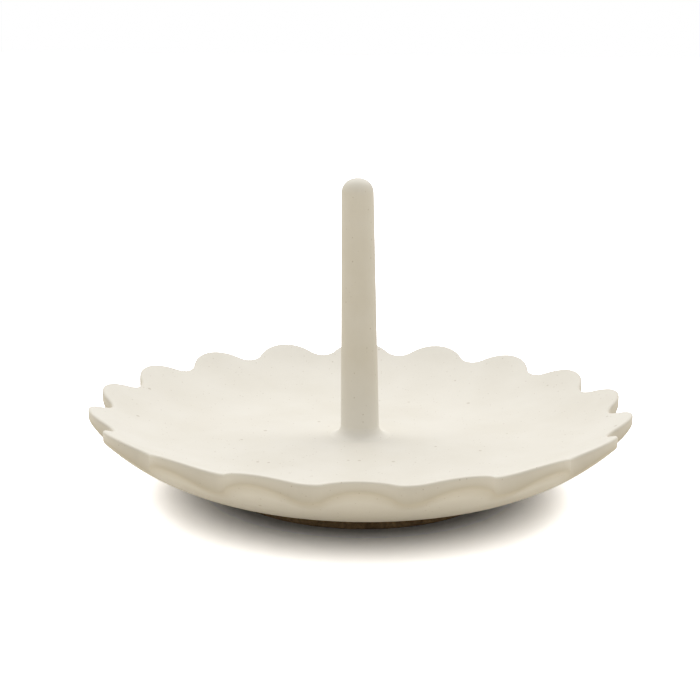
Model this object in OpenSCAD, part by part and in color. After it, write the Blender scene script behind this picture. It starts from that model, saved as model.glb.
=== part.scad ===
// Ring dish: a round dish with a scalloped edge and a post that finger rings hang on.
// Millimetres, +Z up. The origin is on the table under the middle of the dish,
// and one lobe of the edge faces the front, -Y.

/* [Dish] */
// Diameter over the tips of two opposite lobes
overall_d = 120; // [95:1:160]
// Height of the lobe tips above the table
rim_h = 20.4; // [16:0.1:28]
// Height of the flat floor above the table
floor_h = 11.8; // [10:0.1:14]
// Diameter of the flat floor
floor_d = 60; // [30:1:80]
// Upright thickness of the edge at a lobe tip
lip_t = 2.6; // [1.5:0.1:5]
// Slope of the underside where it leaves the foot, in degrees
belly_slope = 4; // [0:0.5:12]
// Thickness of the floor over the hollow of the foot
base_t = 5.5; // [3:0.1:7.5]

/* [Scalloped edge] */
// Number of lobes round the edge
lobe_count = 18; // [12:1:24]
// Depth of the dips between two lobes
lobe_depth = 4.2; // [2:0.1:6]
// Radius of the rounded bottom of a dip
dip_r = 4.5; // [2:0.1:6]

/* [Foot] */
// Outer diameter of the foot ring
foot_d = 60; // [40:1:80]
// Width of the foot ring
foot_w = 4; // [2.5:0.1:10]
// Height of the foot ring
foot_h = 3.4; // [2:0.1:5]
// Radius of the worn edges that stand on the table
foot_edge_r = 0.6; // [0.2:0.1:1.2]
// Radius of the inner corner of the hollow
hollow_r = 2; // [0.5:0.1:4]

/* [Ring post] */
// Height of the post above the floor
post_h = 57.7; // [30:0.1:90]
// Diameter of the post at the floor
post_base_d = 8.6; // [6:0.1:12]
// Diameter of the post where its rounded tip begins
post_top_d = 7.1; // [5:0.1:10]
// Diameter of the flat spot on the tip
tip_flat_d = 0.7; // [0.2:0.1:4]
// Lean of the hand-set post to the left, in degrees
post_lean = 1.1; // [0:0.1:3]

/* [Clay fillet] */
// Radius of the smoothed clay round the foot of the post
fillet_r = 2.4; // [1:0.1:5]
// Thickness that the clay keeps at its edges
feather_t = 0.15; // [0.1:0.05:0.5]

/* [Hidden] */
$fn = 180;

glaze_color = [0.90, 0.88, 0.83];
post_color = [0.86, 0.83, 0.77];
clay_color = [0.44, 0.36, 0.26];

// The way the first lobe faces, and how far cutting shapes run past what they cut
front_angle = -90;
cut_past = 1;
// How far a dip is cut past the point where it would only touch the lobes beside it
dip_lap = 0.02;

rim_r = overall_d / 2;
floor_r = floor_d / 2;
foot_r = foot_d / 2;
foot_in_r = foot_r - foot_w;
hollow_top = floor_h - base_t;
reach_r = rim_r + cut_past;
reach_h = rim_h + cut_past;

// A circle through two points whose slope at the first is known: its radius and centre
function arc_radius(from, to, slope) =
    let (d = to - from, up = [-sin(slope), cos(slope)]) (d * d) / (2 * d * up);
function arc_centre(from, to, slope) =
    from + arc_radius(from, to, slope) * [-sin(slope), cos(slope)];

// Where the curve of the inside and the curve of the belly start and end
floor_edge = [floor_r, floor_h];
rim_top = [rim_r, rim_h];
foot_edge = [foot_r, foot_h];
rim_under = [rim_r, rim_h - lip_t];
floor_slope = 0;

// Scalloped outline: lobe arcs that run smoothly into dip arcs
lobe_step = 360 / lobe_count;
half_step = lobe_step / 2;
dip_centre = rim_r - lobe_depth + dip_r;
lobe_r = (pow(dip_centre, 2) + pow(rim_r, 2) - 2 * dip_centre * rim_r * cos(half_step)
    - pow(dip_r, 2)) / (2 * (rim_r + dip_r - dip_centre * cos(half_step)));
lobe_centre = rim_r - lobe_r;

post_r = post_base_d / 2;
tip_r = (post_top_d - tip_flat_d) / 2;
tip_start = post_h - tip_r;
taper = (post_base_d - post_top_d) / 2 / tip_start;
root_h = post_base_d * sin(post_lean) + cut_past;

// The area above a curve that climbs outwards from a level plane
module area_above(from, to, slope) {
    centre = arc_centre(from, to, slope);
    translate([0, from[1]])
        square([from[0], reach_h - from[1]]);
    intersection() {
        translate(centre)
            circle(arc_radius(from, to, slope));
        translate(from)
            square([reach_r - from[0], reach_h - from[1]]);
    }
}

// A bar whose two lower corners are rounded
module bar_rounded_below(width, height, corner_r) {
    translate([0, corner_r])
        square([width, height - corner_r]);
    translate([corner_r, 0])
        square([width - 2 * corner_r, height]);
    for (x = [corner_r, width - corner_r])
        translate([x, corner_r])
            circle(corner_r);
}

// The hollow inside the foot, with a rounded inner corner, from the middle outwards
module hollow_section() {
    square([foot_in_r, hollow_top - hollow_r]);
    square([foot_in_r - hollow_r, hollow_top]);
    translate([foot_in_r - hollow_r, hollow_top - hollow_r])
        circle(hollow_r);
}

// Half of a cut through the round dish, before its edge is scalloped
module dish_section() {
    difference() {
        area_above(foot_edge, rim_under, belly_slope);
        area_above(floor_edge, rim_top, floor_slope);
        hollow_section();
    }
}

// Places its children once for each lobe, turned by a share of one step
module round_the_edge(share) {
    for (i = [0 : lobe_count - 1])
        rotate(front_angle + (i + share) * lobe_step)
            children();
}

// The scalloped outline, seen from above
module scallop_outline() {
    corners = [for (i = [0 : 2 * lobe_count - 1])
        let (a = front_angle + i * half_step, r = i % 2 == 0 ? lobe_centre : dip_centre)
        r * [cos(a), sin(a)]];
    difference() {
        union() {
            polygon(corners);
            round_the_edge(0)
                translate([lobe_centre, 0])
                    circle(lobe_r);
        }
        round_the_edge(1 / 2)
            translate([dip_centre, 0])
                circle(dip_r + dip_lap);
    }
}

// The post before its lower end is cut level with the floor
module leaning_post() {
    translate([0, 0, floor_h])
        rotate([0, -post_lean, 0])
            rotate_extrude() {
                polygon([
                    [0, -root_h],
                    [post_r + taper * root_h, -root_h],
                    [post_top_d / 2, tip_start],
                    [0, tip_start]
                ]);
                translate([0, tip_start])
                    square([tip_flat_d / 2, tip_r]);
                intersection() {
                    translate([tip_flat_d / 2, tip_start])
                        circle(tip_r);
                    translate([tip_flat_d / 2, tip_start])
                        square(tip_r);
                }
            }
}

module dish() {
    color(glaze_color)
        intersection() {
            rotate_extrude()
                dish_section();
            linear_extrude(reach_h)
                scallop_outline();
        }
}

module foot_ring() {
    color(clay_color)
        rotate_extrude()
            translate([foot_in_r, 0])
                bar_rounded_below(foot_w, foot_h, foot_edge_r);
}

module ring_post() {
    color(post_color)
        difference() {
            leaning_post();
            translate([0, 0, floor_h - 2 * root_h])
                cylinder(h = 2 * root_h, r = post_base_d);
        }
}

module post_fillet() {
    outer = post_r + feather_t + fillet_r;
    height = feather_t + fillet_r;
    color(post_color)
        difference() {
            translate([0, 0, floor_h])
                rotate_extrude()
                    difference() {
                        square([outer, height]);
                        translate([outer, height])
                            circle(fillet_r);
                    }
            leaning_post();
        }
}

dish();
foot_ring();
ring_post();
post_fillet();
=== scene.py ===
import math

import bpy
import numpy as np
from mathutils import Matrix, Vector


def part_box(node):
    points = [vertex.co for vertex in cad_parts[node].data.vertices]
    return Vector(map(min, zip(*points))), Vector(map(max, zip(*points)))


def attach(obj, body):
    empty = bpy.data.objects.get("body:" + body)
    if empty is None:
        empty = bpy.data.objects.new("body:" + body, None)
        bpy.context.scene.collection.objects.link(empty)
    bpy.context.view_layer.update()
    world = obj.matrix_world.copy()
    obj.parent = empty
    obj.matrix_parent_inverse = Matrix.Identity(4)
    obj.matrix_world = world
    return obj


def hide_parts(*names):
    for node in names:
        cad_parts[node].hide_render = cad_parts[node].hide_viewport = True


bl_info = {
    "name": "Scalloped ring dish",
    "version": (1, 0, 0),
    "blender": (4, 5, 0),
    "location": "View3D > Sidebar > Ring dish",
    "description": "Makes a glazed dish with a scalloped edge, its clay foot and its ring post",
    "category": "Add Mesh",
}

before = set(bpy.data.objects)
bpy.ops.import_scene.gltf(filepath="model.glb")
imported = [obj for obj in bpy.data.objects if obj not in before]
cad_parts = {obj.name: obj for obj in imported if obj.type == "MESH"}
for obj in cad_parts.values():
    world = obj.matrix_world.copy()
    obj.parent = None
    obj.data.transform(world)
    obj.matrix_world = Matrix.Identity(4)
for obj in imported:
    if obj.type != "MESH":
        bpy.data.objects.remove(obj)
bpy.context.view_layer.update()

# The one body of the frame: nothing on the dish moves
BODY = "root"

# Columns of a grid for each lobe of the dish, and for a full turn of the round pieces
COLUMNS_PER_LOBE = 36
COLUMNS_PER_TURN = 180
# Rows of a grid along each stretch of a profile
FLOOR_ROWS = 10
WALL_ROWS = 30
LIP_ROWS = 6
BELLY_ROWS = 26
CEILING_ROWS = 6
POST_ROWS = 40
SEAT_ROWS = 8
# Rows of a right-angled bend: the lip's upper and lower corner, the hollow, the foot, and the large ones
UPPER_BEND_ROWS = 8
LOWER_BEND_ROWS = 7
HOLLOW_BEND_ROWS = 6
FOOT_BEND_ROWS = 7
WIDE_BEND_ROWS = 16
# Radius of the first row round the middle of the floor and of the hollow's ceiling, in metres
FLOOR_START = 0.004
CEILING_START = 0.003
# Edges that turn by more than this keep a crease, in degrees
CREASE_ANGLE = 38

# Painted shade, from 0 to 1, where the glaze is darkened for the shade on the lip: on its upper corner, at
# the crease under the lip and just below the crease, and how fast that fades down the belly
SHADE_ON_LIP = 0.45
SHADE_AT_CREASE = 1.0
SHADE_BELOW_CREASE = 0.6
SHADE_FADE = 8
# Painted light on the post, where its painted shade stops and its glaze goes back to the dish's cream: how
# far at its tip, which faces the light, and how fast that fades from its foot, where the dish throws light
# on it
CREAM_AT_TIP = 0.8
CREAM_FADE = 3.2

# Mottling of the glaze: repeats to the metre on the dish and on the post, and its octaves
DISH_MOTTLE = 70.0
POST_MOTTLE = 110.0
MOTTLE_DETAIL = 4.0
# Other noise patterns: repeats to the metre, octaves, and for the grain how strong the finer ones are
GLAZE_WAVES = (140.0, 1.0)
GLAZE_SKIN = (900.0, 2.0)
CLAY_CLOUDS = (160.0, 3.0)
CLAY_GRAIN = (1600.0, 3.0, 0.7)
# Values between which a noise is stretched: the mottling, the clay's colour and its roughness
MOTTLE_RANGE = (0.32, 0.68)
CLAY_COLOR_RANGE = (0.16, 0.36)
CLAY_GRAIN_RANGE = (0.3, 0.7)
# Specks: cells to the metre, the share of them that stays empty, and the largest radius, in cells
PITS = (420.0, 0.86, 0.22)
FINE_SPECKS = (1500.0, 0.80, 0.30)
# How strongly specks show, and the soft share of a speck's edge
SPECK_STRENGTH = 0.35
SPECK_SOFTNESS = 0.35
# Height of the unevenness of each surface, in metres, and the fine skin's share beside the waves
GLAZE_DEPTH = 0.00003
CLAY_DEPTH = 0.00008
SKIN_SHARE = 0.25
# Roughness of the satin glaze and of the clay, smoothest and roughest
GLAZE_ROUGHNESS = (0.44, 0.56)
CLAY_ROUGHNESS = (0.78, 0.95)
# Shine of the glaze and of the clay, and the thin soft coat over the glaze
GLAZE_SHINE = 0.25
CLAY_SHINE = 0.2
COAT_WEIGHT = 0.06
COAT_ROUGHNESS = 0.32

# Light colours, as linear values: the sky, the lamps, and the light that the floor throws back
SKY_COLOR = (1.0, 0.995, 0.98)
LAMP_COLOR = (1.0, 1.0, 0.99)
FLOOR_BOUNCE = (0.94, 0.89, 0.79)
# Painted shadow round the dish: distances from the middle, in metres, between which the floor as the
# camera sees it goes from darkened to brightened, and its brightness there
SHADOW_REACH = (0.031, 0.052)
SHADOW_BRIGHTNESS = (0.45, 3.0)
# Cools the floor a little, against the warm light that the dish throws on it
FLOOR_TINT = (1.0, 1.03, 1.12)
SENSOR_WIDTH = 36.0
NEAREST_SEEN = 0.01


def highest(node):
    """The highest corner of a CAD node's box, in metres."""
    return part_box(node)[1]


def lowest(node):
    """The lowest corner of a CAD node's box, in metres."""
    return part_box(node)[0]


def length_prop(name, description, default, largest=1.0):
    """A length in metres."""
    return bpy.props.FloatProperty(
        name=name, description=description, default=default, min=0.0, max=largest,
        precision=5, subtype="DISTANCE", unit="LENGTH")


def angle_prop(name, description, default):
    """An angle, given here in degrees and kept in radians."""
    return bpy.props.FloatProperty(
        name=name, description=description, default=math.radians(default),
        precision=4, subtype="ANGLE", unit="ROTATION")


def number_prop(name, description, default, largest):
    """A number without a unit, from 0 up."""
    return bpy.props.FloatProperty(
        name=name, description=description, default=default, min=0.0, max=largest)


def color_prop(name, description, srgb):
    """A colour as a screen shows it, turned into the linear values that shaders take."""
    linear = [c / 12.92 if c <= 0.04045 else ((c + 0.055) / 1.055) ** 2.4 for c in srgb]
    return bpy.props.FloatVectorProperty(
        name=name, description=description, default=linear, size=3, min=0.0, max=1.0, subtype="COLOR")


class DishSizes(bpy.types.PropertyGroup):
    rim_radius: length_prop("Rim radius", "From the middle to a lobe tip", highest("dish").y)
    rim_height: length_prop("Rim height", "Lobe tips above the table", highest("dish").z)
    floor_height: length_prop("Floor height", "Flat floor above the table", lowest("ring_post").z)
    floor_radius: length_prop("Floor radius", "Radius of the flat floor", 0.030)
    lip_thickness: length_prop("Lip thickness", "Upright thickness of the edge at a tip", 0.0026)
    belly_slope: angle_prop("Belly slope", "Slope of the underside where it leaves the foot", 4)
    base_thickness: length_prop("Base thickness", "Floor thickness over the foot's hollow", 0.0055)
    hollow_corner: length_prop("Hollow corner", "Radius of the hollow's inner corner", 0.002)
    lip_round_above: length_prop("Upper lip rounding", "Softening of the upper edge", 0.0008)
    lip_round_below: length_prop("Lower lip rounding", "Softening of the lower edge", 0.0004)
    lobe_count: bpy.props.IntProperty(
        name="Lobes", description="Number of lobes round the edge", default=18, min=6, max=40)
    lobe_depth: length_prop("Dip depth", "Depth of the dips between two lobes", 0.0042)
    dip_radius: length_prop("Dip radius", "Radius of the bottom of a dip", 0.0045)


class FootSizes(bpy.types.PropertyGroup):
    radius: length_prop("Radius", "Outer radius of the foot ring", highest("foot_ring").x)
    height: length_prop("Height", "Height of the foot ring", highest("foot_ring").z)
    width: length_prop("Width", "Width of the foot ring", 0.004)
    worn_edge: length_prop("Worn edge", "Rounding of the edges that stand on the table", 0.0006)


class PostSizes(bpy.types.PropertyGroup):
    height: length_prop("Height", "Length of the post above the floor", 0.0577)
    base_radius: length_prop("Base radius", "Radius at the floor", 0.0043)
    top_radius: length_prop("Top radius", "Radius where the rounded tip begins", 0.00355)
    tip_flat_radius: length_prop("Tip flat", "Radius of the flat spot on the tip", 0.00035)
    lean: angle_prop("Lean", "Lean of the hand-set post to the left", 1.1)
    fillet_radius: length_prop("Fillet radius", "Reach of the smoothed clay at its foot", 0.00255)


class GlazeLooks(bpy.types.PropertyGroup):
    cream: color_prop("Cream", "Glaze where it lies thick", (0.925, 0.907, 0.866))
    cream_pooled: color_prop("Pooled cream", "Glaze where it has pooled", (0.908, 0.888, 0.842))
    # Painted shade: the cream darkened on the lip's face and at the crease under it
    cream_in_painted_shade: color_prop("Cream in painted shade", "Cream darkened as painted shade on the lip face and at the crease under it", (0.83, 0.795, 0.72))
    # Painted shade: the post's colours are a warmer glaze, darkened too for the shade on its upright side
    post_cream_and_painted_shade: color_prop("Post cream", "Warmer glaze on the post, darkened as painted shade on its upright side", (0.89, 0.865, 0.81))
    post_pooled_and_painted_shade: color_prop("Post pooled", "Pooled glaze on the post, darkened as painted shade on its upright side", (0.872, 0.843, 0.778))
    speck: color_prop("Specks", "Iron specks under the glaze", (0.62, 0.54, 0.43))
    clay: color_prop("Clay", "Unglazed clay of the foot", (0.53, 0.44, 0.32))
    clay_dark: color_prop("Dark clay", "Darker grains in the clay", (0.38, 0.305, 0.21))


class StageLooks(bpy.types.PropertyGroup):
    camera_distance: length_prop("Camera distance", "From the dish's middle, level", 0.31815)
    camera_height: length_prop("Camera height", "Above the table", 0.10303)
    camera_yaw: angle_prop("Camera yaw", "Turn to the left", math.degrees(0.0076))
    camera_pitch: angle_prop("Camera pitch", "Downward look", math.degrees(0.2173))
    camera_roll: angle_prop("Camera roll", "Roll about the line of sight", math.degrees(0.0089))
    lens: bpy.props.FloatProperty(
        name="Lens", description="Focal length on a 36 mm sensor", default=75.55, unit="CAMERA")
    floor_side: length_prop("Floor side", "Side of the square floor", 8.0, largest=20.0)
    sky_strength: number_prop("Sky strength", "Even light from all round", 0.52, 5.0)
    lamp_strength: number_prop("Lamp strength", "Each of the two lamps behind and above", 0.95, 20.0)
    lamp_slant: number_prop("Lamp slant", "Sideways and forward run on a drop of 1", 0.45, 5.0)
    lamp_spread: angle_prop("Lamp spread", "Angle of each lamp's disc: wider is softer", 50)


def arc_through(start, end, slope):
    """The circle through two points (radius, height) whose slope at the first is known.

    The circle's radius is the squared distance of the points over twice the height of the second
    over the line that starts at the first with that slope. Returns the radius and the centre."""
    across, up = end[0] - start[0], end[1] - start[1]
    rise = up * math.cos(slope) - across * math.sin(slope)
    radius = (across ** 2 + up ** 2) / (2 * rise)
    return radius, (start[0] - radius * math.sin(slope), start[1] + radius * math.cos(slope))


def inside_height(radii, sizes):
    """Height of the inside: level as far as the floor goes, then a circle's arc up to the rim."""
    arc, centre = arc_through((sizes.floor_radius, sizes.floor_height),
                              (sizes.rim_radius, sizes.rim_height), 0.0)
    out = np.maximum(radii - sizes.floor_radius, 0.0)
    return centre[1] - np.sqrt(arc ** 2 - out ** 2)


def belly_height(radii, sizes, foot):
    """Height of the underside: a circle's arc from the foot's edge to the underside of the rim."""
    rim_under = (sizes.rim_radius, sizes.rim_height - sizes.lip_thickness)
    arc, centre = arc_through((foot.radius, foot.height), rim_under, sizes.belly_slope)
    return centre[1] - np.sqrt(arc ** 2 - (radii - centre[0]) ** 2)


def scallop_radius(turns, inset, sizes):
    """Radius of the scalloped outline, drawn in by inset, at each angle from the front.

    Lobes and dips are arcs that touch. A lobe's arc is centred on its own middle line and reaches
    the rim radius, a dip's arc is centred outside the rim. Drawing the outline in takes the inset
    off the lobes' radius and adds it to the dips' radius. A column of insets gives a row for each."""
    half_step = math.pi / sizes.lobe_count
    from_lobe = np.abs((turns + half_step) % (2 * half_step) - half_step)
    from_dip = half_step - from_lobe
    rim, dip = sizes.rim_radius, sizes.dip_radius
    dip_centre = rim - sizes.lobe_depth + dip
    lobe = (dip_centre ** 2 + rim ** 2 - 2 * dip_centre * rim * math.cos(half_step) - dip ** 2) / (
        2 * (rim + dip - dip_centre * math.cos(half_step)))
    lobe_centre = rim - lobe
    towards_dip = Vector((dip_centre * math.cos(half_step) - lobe_centre,
                          dip_centre * math.sin(half_step))).normalized()
    lobe_inset, dip_inset = lobe - inset, dip + inset
    touch_angle = np.arctan2(towards_dip.y * lobe_inset, lobe_centre + towards_dip.x * lobe_inset)
    on_lobe = lobe_centre * np.cos(from_lobe) + np.sqrt(
        np.maximum(lobe_inset ** 2 - (lobe_centre * np.sin(from_lobe)) ** 2, 0.0))
    in_dip = dip_centre * np.cos(from_dip) - np.sqrt(
        np.maximum(dip_inset ** 2 - (dip_centre * np.sin(from_dip)) ** 2, 0.0))
    return np.where(from_lobe < touch_angle, on_lobe, in_dip)


def column(values):
    """A list of values as a column, one to a row."""
    return np.asarray(values, float)[:, None]


def between(start, end, rows):
    """A column of even steps from start to end, both ends included."""
    return column(np.linspace(start, end, rows))


def bend(start, end, rows):
    """A column of angles from start to end in degrees, both ends included, in radians."""
    return np.radians(between(start, end, rows))


def full_turn(columns):
    """Even angles round a full turn."""
    return np.arange(columns) * (2 * math.pi / columns)


def around(radii, heights, turns):
    """Points of a grid from radii and heights by row, or by row and column. Turn 0 faces the front, -Y."""
    return np.stack(np.broadcast_arrays(
        radii * np.sin(turns), -radii * np.cos(turns), heights + 0 * turns), axis=-1)


def lay_grid(name, points, poles=None, masks=None):
    """A closed mesh from a grid of points, rows along the profile and columns round the piece.

    The profile runs clockwise, from the inside over the top, outwards and back underneath, which
    turns every face outwards. Without poles its last row joins its first. Poles are two points,
    and a fan of triangles closes the first row to one and the last row to the other. A mask is a
    number for each row or for the whole piece, which a material reads by the mask's name."""
    rows, columns = points.shape[:2]
    number = np.arange(rows * columns).reshape(rows, columns)
    following = np.roll(number, -1, axis=1)
    vertices = points.reshape(-1, 3)
    quads = np.stack([number, np.roll(number, -1, axis=0),
                      np.roll(following, -1, axis=0), following], axis=-1)
    if poles is None:
        faces = quads.reshape(-1, 4).tolist()
    else:
        first = np.full(columns, len(vertices))
        faces = quads[:-1].reshape(-1, 4).tolist()
        faces += np.stack([first, number[0], following[0]], axis=-1).tolist()
        faces += np.stack([number[-1], first + 1, following[-1]], axis=-1).tolist()
        vertices = np.concatenate([vertices, np.array(poles, float)])
    mesh = bpy.data.meshes.new(name)
    mesh.from_pydata(vertices.tolist(), [], faces)
    for mask, values in (masks or {}).items():
        attribute = mesh.attributes.new(mask, "FLOAT", "POINT")
        spread = np.zeros(len(vertices), np.float32)
        spread[:rows * columns] = np.broadcast_to(values, (rows, columns)).reshape(-1)
        attribute.data.foreach_set("value", spread)
    mesh.shade_smooth()
    mesh.set_sharp_from_angle(angle=math.radians(CREASE_ANGLE))
    mesh.validate()
    piece = bpy.data.objects.new(name, mesh)
    bpy.context.scene.collection.objects.link(piece)
    return piece


def finish_piece(piece, node, material):
    """Gives a piece its material, puts it under its body in the frame, and hides the CAD node that it
    stands for.
    """
    piece.data.materials.append(material)
    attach(piece, BODY)
    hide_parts(node)


def inside_rows(sizes, turns):
    """Rows of the inside, from the middle of the floor to the upper corner of the lip."""
    inner_edge = scallop_radius(turns, sizes.lip_round_above, sizes)
    floor = between(FLOOR_START, sizes.floor_radius, FLOOR_ROWS) + 0 * turns
    wall = sizes.floor_radius + between(0, 1, WALL_ROWS)[1:] * (inner_edge - sizes.floor_radius)
    radii = np.concatenate([floor, wall])
    return radii, inside_height(radii, sizes), np.zeros((len(radii), 1))


def lip_rows(sizes, foot, turns):
    """Rows of the lip: round its upper corner, down its face and round its lower corner.

    A corner of radius q is the outline drawn in by q (1 - sin k) and lowered, or raised below,
    by q (1 - cos k), while k turns through a right angle."""
    above, below = sizes.lip_round_above, sizes.lip_round_below
    upper, lower = bend(0, 90, UPPER_BEND_ROWS)[1:], bend(90, 0, LOWER_BEND_ROWS)
    down = between(0, 1, LIP_ROWS)[1:-1]
    outline = scallop_radius(turns, 0.0, sizes)
    top_radii = scallop_radius(turns, above * (1 - np.sin(upper)), sizes)
    low_radii = scallop_radius(turns, below * (1 - np.sin(lower)), sizes)
    face_top = inside_height(outline, sizes) - above
    face_foot = belly_height(outline, sizes, foot) + below
    radii = np.concatenate([top_radii, outline + 0 * down, low_radii])
    heights = np.concatenate([
        inside_height(top_radii, sizes) - above * (1 - np.cos(upper)),
        face_top + down * (face_foot - face_top),
        belly_height(low_radii, sizes, foot) + below * (1 - np.cos(lower))])
    # Painted shade down the lip: from nothing at the top to its darkest at the crease under the lip
    painted_shade_share = np.concatenate([
        SHADE_ON_LIP * np.sin(upper),
        SHADE_ON_LIP + (SHADE_AT_CREASE - SHADE_ON_LIP) * down ** 2,
        SHADE_BELOW_CREASE + (SHADE_AT_CREASE - SHADE_BELOW_CREASE) * np.sin(lower)])
    return radii, heights, painted_shade_share


def belly_rows(sizes, foot, turns):
    """Rows of the underside, from the lip in to the foot."""
    back = between(0, 1, BELLY_ROWS)[1:]
    start = scallop_radius(turns, sizes.lip_round_below, sizes)
    radii = start + back * (foot.radius - start)
    # The painted shade under the lip fades out a little way down the belly
    return radii, belly_height(radii, sizes, foot), np.maximum(SHADE_BELOW_CREASE - back * SHADE_FADE, 0.0)


def hollow_rows(sizes, foot, turns):
    """Rows over the foot ring and up its hollow, round the hollow's corner to the middle."""
    corner_radius = sizes.hollow_corner
    inner = foot.radius - foot.width
    ceiling = sizes.floor_height - sizes.base_thickness
    turn_in = bend(0, 90, HOLLOW_BEND_ROWS)
    flat = between(inner - corner_radius, CEILING_START, CEILING_ROWS)[1:]
    radii = np.concatenate([
        column([foot.radius - foot.width / 2, inner]),
        inner - corner_radius * (1 - np.cos(turn_in)),
        flat])
    heights = np.concatenate([
        column([foot.height, foot.height]),
        ceiling - corner_radius * (1 - np.sin(turn_in)),
        ceiling + 0 * flat])
    return radii + 0 * turns, heights + 0 * turns, np.zeros((len(radii), 1))


def add_sockets(group, way, kind, names):
    """Gives a node group sockets of one kind."""
    for name in names:
        group.interface.new_socket(name=name, in_out=way, socket_type=kind)


def new_finish_group(name, colors, values=()):
    """An empty node group for a finish, with its nodes, links, inputs and outputs.

    It takes the named colours and values, and puts out a colour, a roughness and a height."""
    group = bpy.data.node_groups.new(name, "ShaderNodeTree")
    add_sockets(group, "INPUT", "NodeSocketColor", colors)
    add_sockets(group, "INPUT", "NodeSocketFloat", values)
    add_sockets(group, "OUTPUT", "NodeSocketColor", ["Color"])
    add_sockets(group, "OUTPUT", "NodeSocketFloat", ["Roughness", "Height"])
    given = group.nodes.new("NodeGroupInput").outputs
    put_out = group.nodes.new("NodeGroupOutput").inputs
    return group, group.nodes, group.links, given, put_out


def noise(nodes, links, place, scale, detail, roughness=0.5):
    """A noise texture on the given coordinates. Its scale is a socket or a number."""
    texture = nodes.new("ShaderNodeTexNoise")
    texture.inputs["Detail"].default_value = detail
    texture.inputs["Roughness"].default_value = roughness
    links.new(place, texture.inputs["Vector"])
    set_or_link(links, texture.inputs["Scale"], scale)
    return texture.outputs["Fac"]


def stretch(nodes, links, value, low, high, to_low=0.0, to_high=1.0):
    """Maps a value from one range to another, and keeps it inside."""
    node = nodes.new("ShaderNodeMapRange")
    node.inputs["From Min"].default_value = low
    node.inputs["From Max"].default_value = high
    node.inputs["To Min"].default_value = to_low
    node.inputs["To Max"].default_value = to_high
    links.new(value, node.inputs["Value"])
    return node.outputs["Result"]


def blend_colors(nodes, links, share, first, second):
    """Mixes two colours by a share, each a socket."""
    node = nodes.new("ShaderNodeMix")
    node.data_type = "RGBA"
    links.new(share, node.inputs["Factor"])
    links.new(first, node.inputs["A"])
    links.new(second, node.inputs["B"])
    return node.outputs["Result"]


def set_or_link(links, socket, value):
    """Sets a socket to a number, or links another socket to it."""
    if isinstance(value, (int, float)):
        socket.default_value = value
    else:
        links.new(value, socket)


def calculate(nodes, links, operation, first, second):
    """One sum on two values, each a socket or a number."""
    node = nodes.new("ShaderNodeMath")
    node.operation = operation
    set_or_link(links, node.inputs[0], first)
    set_or_link(links, node.inputs[1], second)
    return node.outputs["Value"]


def specks(nodes, links, place, scale, empty_share, largest):
    """Round specks: a mask that is 1 near the middle of some cells of a cell pattern.

    Each cell has a random number. Those under empty_share stay empty, and the others get a speck
    whose radius grows with the number up to largest, in cells."""
    cells = nodes.new("ShaderNodeTexVoronoi")
    cells.inputs["Scale"].default_value = scale
    links.new(place, cells.inputs["Vector"])
    parts = nodes.new("ShaderNodeSeparateColor")
    links.new(cells.outputs["Color"], parts.inputs["Color"])
    radius = stretch(nodes, links, parts.outputs["Red"], empty_share, 1.0, 0.0, largest)
    inside = calculate(nodes, links, "SUBTRACT", radius, cells.outputs["Distance"])
    return stretch(nodes, links, inside, 0.0, largest * SPECK_SOFTNESS)


def speckled_glaze():
    """Node group: a satin glaze with soft mottling, iron specks and a finely uneven skin.

    Broad noise moves the colour between the thick and the pooled glaze, a mask of painted light and
    shade moves it towards the colour given for that, and small cells darken into specks. Roughness
    follows the mottling, and the height is slow waves with a fine skin, less the larger specks, which are
    pits."""
    name = "speckled glaze"
    if name in bpy.data.node_groups:
        return bpy.data.node_groups[name]
    group, nodes, links, given, put_out = new_finish_group(
        name, ["Thick", "Pooled", "Painted Light And Shade Color", "Speck"], ["Edge", "Mottle Scale", "Speck Strength"])
    place = nodes.new("ShaderNodeTexCoord").outputs["Object"]
    broad = noise(nodes, links, place, given["Mottle Scale"], MOTTLE_DETAIL)
    mottle = stretch(nodes, links, broad, *MOTTLE_RANGE)
    skin = noise(nodes, links, place, *GLAZE_SKIN)
    waves = noise(nodes, links, place, *GLAZE_WAVES)
    pits = specks(nodes, links, place, *PITS)
    fine = specks(nodes, links, place, *FINE_SPECKS)

    color = blend_colors(nodes, links, mottle, given["Thick"], given["Pooled"])
    color = blend_colors(nodes, links, given["Edge"], color, given["Painted Light And Shade Color"])
    all_specks = calculate(nodes, links, "MAXIMUM", pits, fine)
    shown = calculate(nodes, links, "MULTIPLY", all_specks, given["Speck Strength"])
    links.new(blend_colors(nodes, links, shown, color, given["Speck"]), put_out["Color"])
    links.new(stretch(nodes, links, mottle, 0.0, 1.0, *GLAZE_ROUGHNESS), put_out["Roughness"])
    fine_skin = calculate(nodes, links, "MULTIPLY", skin, SKIN_SHARE)
    height = calculate(nodes, links, "ADD", fine_skin, waves)
    links.new(calculate(nodes, links, "SUBTRACT", height, pits), put_out["Height"])
    return group


def clay_grain():
    """Node group: unglazed clay, a mix of light and dark grains that stand out of the surface."""
    name = "clay grain"
    if name in bpy.data.node_groups:
        return bpy.data.node_groups[name]
    group, nodes, links, given, put_out = new_finish_group(name, ["Light", "Dark"])
    place = nodes.new("ShaderNodeTexCoord").outputs["Object"]
    grain = noise(nodes, links, place, *CLAY_GRAIN)
    clouds = noise(nodes, links, place, *CLAY_CLOUDS)
    mixed = calculate(nodes, links, "MULTIPLY", grain, clouds)
    share = stretch(nodes, links, mixed, *CLAY_COLOR_RANGE)
    links.new(blend_colors(nodes, links, share, given["Dark"], given["Light"]), put_out["Color"])
    links.new(stretch(nodes, links, grain, *CLAY_GRAIN_RANGE, *CLAY_ROUGHNESS), put_out["Roughness"])
    links.new(grain, put_out["Height"])
    return group


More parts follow.
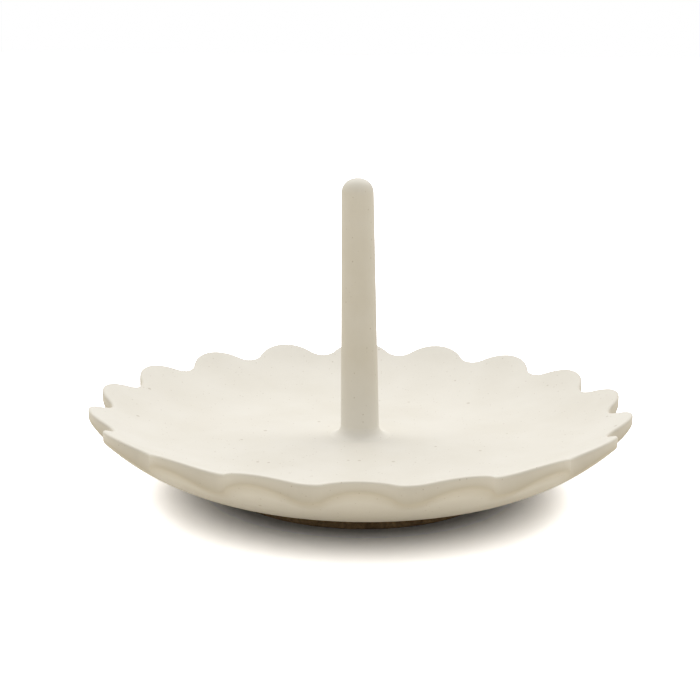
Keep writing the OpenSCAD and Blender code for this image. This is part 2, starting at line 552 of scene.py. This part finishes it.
def finish_material(name, group, colors, depth):
    """A material whose colour, roughness and bumps come from a finish group.

    Returns the material, its nodes and links, the group's inputs and the shader's inputs."""
    material = bpy.data.materials.new(name)
    material.use_nodes = True
    nodes, links = material.node_tree.nodes, material.node_tree.links
    shader = nodes["Principled BSDF"].inputs
    finish = nodes.new("ShaderNodeGroup")
    finish.node_tree = group
    for socket, color in colors.items():
        finish.inputs[socket].default_value = (*color, 1.0)
    bump = nodes.new("ShaderNodeBump")
    bump.inputs["Strength"].default_value = 1.0
    bump.inputs["Distance"].default_value = depth
    links.new(finish.outputs["Color"], shader["Base Color"])
    links.new(finish.outputs["Roughness"], shader["Roughness"])
    links.new(finish.outputs["Height"], bump.inputs["Height"])
    links.new(bump.outputs["Normal"], shader["Normal"])
    return material, nodes, links, finish.inputs, shader


def glaze_material(name, colors, mottle_scale, painted_light_and_shade_mask):
    """Satin glaze. The last argument names the mesh's own mask of painted light and shade, where the
    colour goes over to the colour given for that.
    """
    if name in bpy.data.materials:
        return bpy.data.materials[name]
    material, nodes, links, finish, shader = finish_material(name, speckled_glaze(), colors, GLAZE_DEPTH)
    finish["Mottle Scale"].default_value = mottle_scale
    finish["Speck Strength"].default_value = SPECK_STRENGTH
    mask = nodes.new("ShaderNodeAttribute")
    mask.attribute_name = painted_light_and_shade_mask
    links.new(mask.outputs["Fac"], finish["Edge"])
    shader["Specular IOR Level"].default_value = GLAZE_SHINE
    shader["Coat Weight"].default_value = COAT_WEIGHT
    shader["Coat Roughness"].default_value = COAT_ROUGHNESS
    return material


def dish_glaze(looks):
    """Cream glaze, with painted shade on the lip's face and at the crease under it."""
    colors = {"Thick": looks.cream, "Pooled": looks.cream_pooled,
              "Painted Light And Shade Color": looks.cream_in_painted_shade, "Speck": looks.speck}
    return glaze_material("cream glaze", colors, DISH_MOTTLE, "lip_painted_shade")


def post_glaze(looks):
    """The glaze of the post and its fillet: a warmer glaze, darkened as painted shade on the post's
    upright side, that goes back to the dish's cream at floor and tip as painted light.
    """
    colors = {"Thick": looks.post_cream_and_painted_shade, "Pooled": looks.post_pooled_and_painted_shade,
              "Painted Light And Shade Color": looks.cream, "Speck": looks.speck}
    return glaze_material("post glaze", colors, POST_MOTTLE, "cream_share")


def foot_clay(looks):
    """Rough unglazed clay."""
    name = "bare clay"
    if name in bpy.data.materials:
        return bpy.data.materials[name]
    colors = {"Light": looks.clay, "Dark": looks.clay_dark}
    material, _, _, _, shader = finish_material(name, clay_grain(), colors, CLAY_DEPTH)
    shader["Specular IOR Level"].default_value = CLAY_SHINE
    return material


class MakeDish(bpy.types.Operator):
    """Makes the glazed dish with its scalloped edge"""
    bl_idname = "ring_dish.make_dish"
    bl_label = "Glazed dish"

    def execute(self, context):
        sizes, foot = context.scene.dish_sizes, context.scene.foot_sizes
        turns = full_turn(sizes.lobe_count * COLUMNS_PER_LOBE)
        stretches = (inside_rows(sizes, turns), lip_rows(sizes, foot, turns),
                     belly_rows(sizes, foot, turns), hollow_rows(sizes, foot, turns))
        radii, heights, painted_shade_share = (np.concatenate(rows) for rows in zip(*stretches))
        poles = [(0, 0, sizes.floor_height), (0, 0, sizes.floor_height - sizes.base_thickness)]
        # Its mask on the lip tells the glaze where to darken it as painted shade
        piece = lay_grid("glazed_dish", around(radii, heights, turns), poles, {"lip_painted_shade": painted_shade_share})
        finish_piece(piece, "dish", dish_glaze(context.scene.glaze_looks))
        return {"FINISHED"}


class MakeFoot(bpy.types.Operator):
    """Makes the unglazed foot ring that the dish stands on"""
    bl_idname = "ring_dish.make_foot"
    bl_label = "Clay foot"

    def execute(self, context):
        foot = context.scene.foot_sizes
        inner, worn = foot.radius - foot.width, foot.worn_edge
        outer_bend, inner_bend = bend(0, 90, FOOT_BEND_ROWS), bend(90, 0, FOOT_BEND_ROWS)
        radii = np.concatenate([
            column([inner, foot.radius]),
            foot.radius - worn * (1 - np.cos(outer_bend)),
            inner + worn * (1 - np.cos(inner_bend))])
        heights = np.concatenate([
            column([foot.height, foot.height]),
            worn * (1 - np.sin(outer_bend)),
            worn * (1 - np.sin(inner_bend))])
        piece = lay_grid("clay_foot", around(radii, heights, full_turn(COLUMNS_PER_TURN)))
        finish_piece(piece, "foot_ring", foot_clay(context.scene.glaze_looks))
        return {"FINISHED"}


def tip_sizes(post):
    """Radius of the rounded edge of the post's tip, and how far along the post the tip starts."""
    tip_radius = post.top_radius - post.tip_flat_radius
    return tip_radius, post.height - tip_radius


def narrowing(post):
    """How much the post's radius shrinks for each unit along it, up to the tip."""
    return (post.base_radius - post.top_radius) / tip_sizes(post)[1]


def lean_over(across, depth, along, post, floor_height):
    """Points given across, in depth and along the post, leaned to the left about its foot."""
    x = across * math.cos(post.lean) - along * math.sin(post.lean)
    z = across * math.sin(post.lean) + along * math.cos(post.lean) + floor_height
    return np.stack(np.broadcast_arrays(x, depth, z), axis=-1)


def along_at_height(height, turns, post):
    """How far along the post its side is at a level height above the floor, for each turn.

    Across the lean the side is r sin(turn), and its height is that times sin(lean) plus the
    distance along times cos(lean), with r narrowing evenly. This is solved for the distance."""
    side = np.sin(turns) * math.sin(post.lean)
    return (height - post.base_radius * side) / (math.cos(post.lean) - narrowing(post) * side)


def post_side(along, turns, post, floor_height):
    """Points on the side of the post at the distances along it, by row and column."""
    radius = post.base_radius - narrowing(post) * along
    return lean_over(radius * np.sin(turns), -radius * np.cos(turns), along, post, floor_height)


class MakePost(bpy.types.Operator):
    """Makes the leaning ring post with its rounded tip"""
    bl_idname = "ring_dish.make_post"
    bl_label = "Ring post"

    def execute(self, context):
        post, floor_height = context.scene.post_sizes, context.scene.dish_sizes.floor_height
        turns = full_turn(COLUMNS_PER_TURN)
        tip_radius, tip_start = tip_sizes(post)
        over = bend(90, 0, WIDE_BEND_ROWS)
        dome = post.tip_flat_radius + tip_radius * np.cos(over)
        tip = lean_over(dome * np.sin(turns), -dome * np.cos(turns),
                        tip_start + tip_radius * np.sin(over), post, floor_height)
        level = along_at_height(0.0, turns, post)
        share_up = between(1, 0, POST_ROWS)[1:]
        side = post_side(level + share_up * (tip_start - level), turns, post, floor_height)
        poles = [lean_over(0.0, 0.0, post.height, post, floor_height), (0, 0, floor_height)]
        # Painted light: the post goes back to the dish's cream at its tip and near its foot
        cream = np.concatenate([CREAM_AT_TIP * np.sin(over), np.maximum(1.0 - share_up * CREAM_FADE, 0.0)])
        piece = lay_grid("glazed_post", np.concatenate([tip, side]), poles, {"cream_share": cream})
        finish_piece(piece, "ring_post", post_glaze(context.scene.glaze_looks))
        return {"FINISHED"}


class MakeFillet(bpy.types.Operator):
    """Makes the smoothed clay round the foot of the post"""
    bl_idname = "ring_dish.make_fillet"
    bl_label = "Clay fillet"

    def execute(self, context):
        post, floor_height = context.scene.post_sizes, context.scene.dish_sizes.floor_height
        turns = full_turn(COLUMNS_PER_TURN)
        climb = between(0, post.fillet_radius, SEAT_ROWS)
        seat = post_side(along_at_height(climb, turns, post), turns, post, floor_height)
        edge = around(column([post.base_radius + post.fillet_radius]), floor_height, turns)
        # The curve leaves the post upright and meets the floor level, as a quarter of an ellipse
        over = bend(90, 0, WIDE_BEND_ROWS)[1:-1, :, None]
        across = edge + (seat[-1] - edge) * np.sin(over)
        lift = (seat[-1][:, 2:] - floor_height) * (1 - np.cos(over)) + floor_height
        curve = np.concatenate([across[..., :2], lift], axis=-1)
        piece = lay_grid("smoothed_clay", np.concatenate([seat, curve, edge]), masks={"cream_share": 1.0})
        finish_piece(piece, "post_fillet", post_glaze(context.scene.glaze_looks))
        return {"FINISHED"}


def make_camera(stage):
    """A camera before the dish and above it, turned by yaw, pitch and roll in that order."""
    camera = bpy.data.cameras.new("camera")
    camera.lens = stage.lens
    camera.sensor_width = SENSOR_WIDTH
    camera.sensor_fit = "HORIZONTAL"
    camera.clip_start = NEAREST_SEEN
    holder = bpy.data.objects.new("camera", camera)
    bpy.context.scene.collection.objects.link(holder)
    yaw, pitch, roll = stage.camera_yaw, stage.camera_pitch, stage.camera_roll
    level_right = Vector((math.cos(yaw), math.sin(yaw), 0))
    level_ahead = Vector((-math.sin(yaw), math.cos(yaw), 0))
    ahead = level_ahead * math.cos(pitch) - Vector((0, 0, 1)) * math.sin(pitch)
    upright = level_right.cross(ahead)
    right = level_right * math.cos(roll) + upright * math.sin(roll)
    up = upright * math.cos(roll) - level_right * math.sin(roll)
    turned = Matrix((right, up, -ahead)).transposed().to_4x4()
    holder.matrix_world = Matrix.Translation((0, -stage.camera_distance, stage.camera_height)) @ turned
    bpy.context.scene.camera = holder


def make_lamp(name, side, stage):
    """A soft sun lamp behind the dish and above it. side is 1 on the left and -1 on the right."""
    lamp = bpy.data.lights.new(name, "SUN")
    lamp.energy = stage.lamp_strength
    lamp.angle = stage.lamp_spread
    lamp.color = LAMP_COLOR
    holder = bpy.data.objects.new(name, lamp)
    aim = Vector((side * stage.lamp_slant, -stage.lamp_slant, -1.0))
    holder.rotation_euler = aim.to_track_quat("-Z", "Y").to_euler()
    bpy.context.scene.collection.objects.link(holder)


def mix_by(nodes, links, share, hidden, seen, output):
    """Ends a shader tree: one shader where the share is 0, and another where it is 1."""
    mix = nodes.new("ShaderNodeMixShader")
    links.new(share, mix.inputs[0])
    links.new(hidden.outputs[0], mix.inputs[1])
    links.new(seen.outputs[0], mix.inputs[2])
    links.new(mix.outputs[0], nodes.new(output).inputs["Surface"])


def make_sky(strength):
    """Even soft light from all round. The camera and reflections see it as plain white."""
    world = bpy.data.worlds.new("studio")
    bpy.context.scene.world = world
    world.use_nodes = True
    nodes, links = world.node_tree.nodes, world.node_tree.links
    nodes.clear()
    light = nodes.new("ShaderNodeBackground")
    light.inputs["Color"].default_value = (*SKY_COLOR, 1.0)
    light.inputs["Strength"].default_value = strength
    white = nodes.new("ShaderNodeBackground")
    white.inputs["Color"].default_value = (1.0, 1.0, 1.0, 1.0)
    white.inputs["Strength"].default_value = 1.0
    path = nodes.new("ShaderNodeLightPath").outputs
    straight_or_mirrored = calculate(
        nodes, links, "MAXIMUM", path["Is Camera Ray"], path["Is Glossy Ray"])
    seen = calculate(nodes, links, "MAXIMUM", straight_or_mirrored, path["Is Transmission Ray"])
    mix_by(nodes, links, seen, light, white, "ShaderNodeOutputWorld")


def make_floor(side):
    """A white floor that shows the dish's shadow, and throws a little warm light back on the dish.

    The camera sees it darkened near the middle and brightened further out, a painted shadow laid over the
    real one that keeps it short."""
    half = side / 2
    mesh = bpy.data.meshes.new("floor")
    mesh.from_pydata([(-half, -half, 0), (half, -half, 0), (half, half, 0), (-half, half, 0)],
                     [], [(0, 1, 2, 3)])
    floor = bpy.data.objects.new("floor", mesh)
    bpy.context.scene.collection.objects.link(floor)
    material = bpy.data.materials.new("white floor")
    material.use_nodes = True
    nodes, links = material.node_tree.nodes, material.node_tree.links
    nodes.clear()
    thrown_back = nodes.new("ShaderNodeBsdfDiffuse")
    thrown_back.inputs["Color"].default_value = (*FLOOR_BOUNCE, 1.0)
    shown = nodes.new("ShaderNodeBsdfDiffuse")
    away = nodes.new("ShaderNodeVectorMath")
    away.operation = "LENGTH"
    links.new(nodes.new("ShaderNodeTexCoord").outputs["Object"], away.inputs[0])
    # Painted shadow: the floor darkened near the dish, fading out with the distance from the middle
    brightness = stretch(nodes, links, away.outputs["Value"], *SHADOW_REACH, *SHADOW_BRIGHTNESS)
    tinted = nodes.new("ShaderNodeVectorMath")
    tinted.operation = "SCALE"
    tinted.inputs[0].default_value = FLOOR_TINT
    links.new(brightness, tinted.inputs["Scale"])
    links.new(tinted.outputs["Vector"], shown.inputs["Color"])
    path = nodes.new("ShaderNodeLightPath").outputs
    mix_by(nodes, links, path["Is Camera Ray"], thrown_back, shown, "ShaderNodeOutputMaterial")
    mesh.materials.append(material)


class MakeStage(bpy.types.Operator):
    """Makes the white floor, the soft lights and the camera"""
    bl_idname = "ring_dish.make_stage"
    bl_label = "Stage"

    def execute(self, context):
        stage = context.scene.stage_looks
        context.scene.view_settings.view_transform = "Standard"
        make_camera(stage)
        make_sky(stage.sky_strength)
        make_lamp("lamp_left", 1, stage)
        make_lamp("lamp_right", -1, stage)
        make_floor(stage.floor_side)
        return {"FINISHED"}


class RingDishPanel(bpy.types.Panel):
    """Lists the pieces of the ring dish and its stage"""
    bl_idname = "VIEW3D_PT_ring_dish"
    bl_label = "Ring dish"
    bl_space_type = "VIEW_3D"
    bl_region_type = "UI"
    bl_category = "Ring dish"

    def draw(self, context):
        for operator in OPERATORS:
            self.layout.operator(operator.bl_idname)


SETTINGS = {"dish_sizes": DishSizes, "foot_sizes": FootSizes, "post_sizes": PostSizes,
            "glaze_looks": GlazeLooks, "stage_looks": StageLooks}
OPERATORS = (MakeDish, MakeFoot, MakePost, MakeFillet, MakeStage)
CLASSES = (*SETTINGS.values(), *OPERATORS, RingDishPanel)


def register():
    for cls in CLASSES:
        bpy.utils.register_class(cls)
    for name, group in SETTINGS.items():
        setattr(bpy.types.Scene, name, bpy.props.PointerProperty(type=group))


def unregister():
    for name in SETTINGS:
        delattr(bpy.types.Scene, name)
    for cls in reversed(CLASSES):
        bpy.utils.unregister_class(cls)


def main():
    register()
    bpy.ops.ring_dish.make_stage()
    bpy.ops.ring_dish.make_dish()
    bpy.ops.ring_dish.make_foot()
    bpy.ops.ring_dish.make_post()
    bpy.ops.ring_dish.make_fillet()


if __name__ == "__main__":
    main()
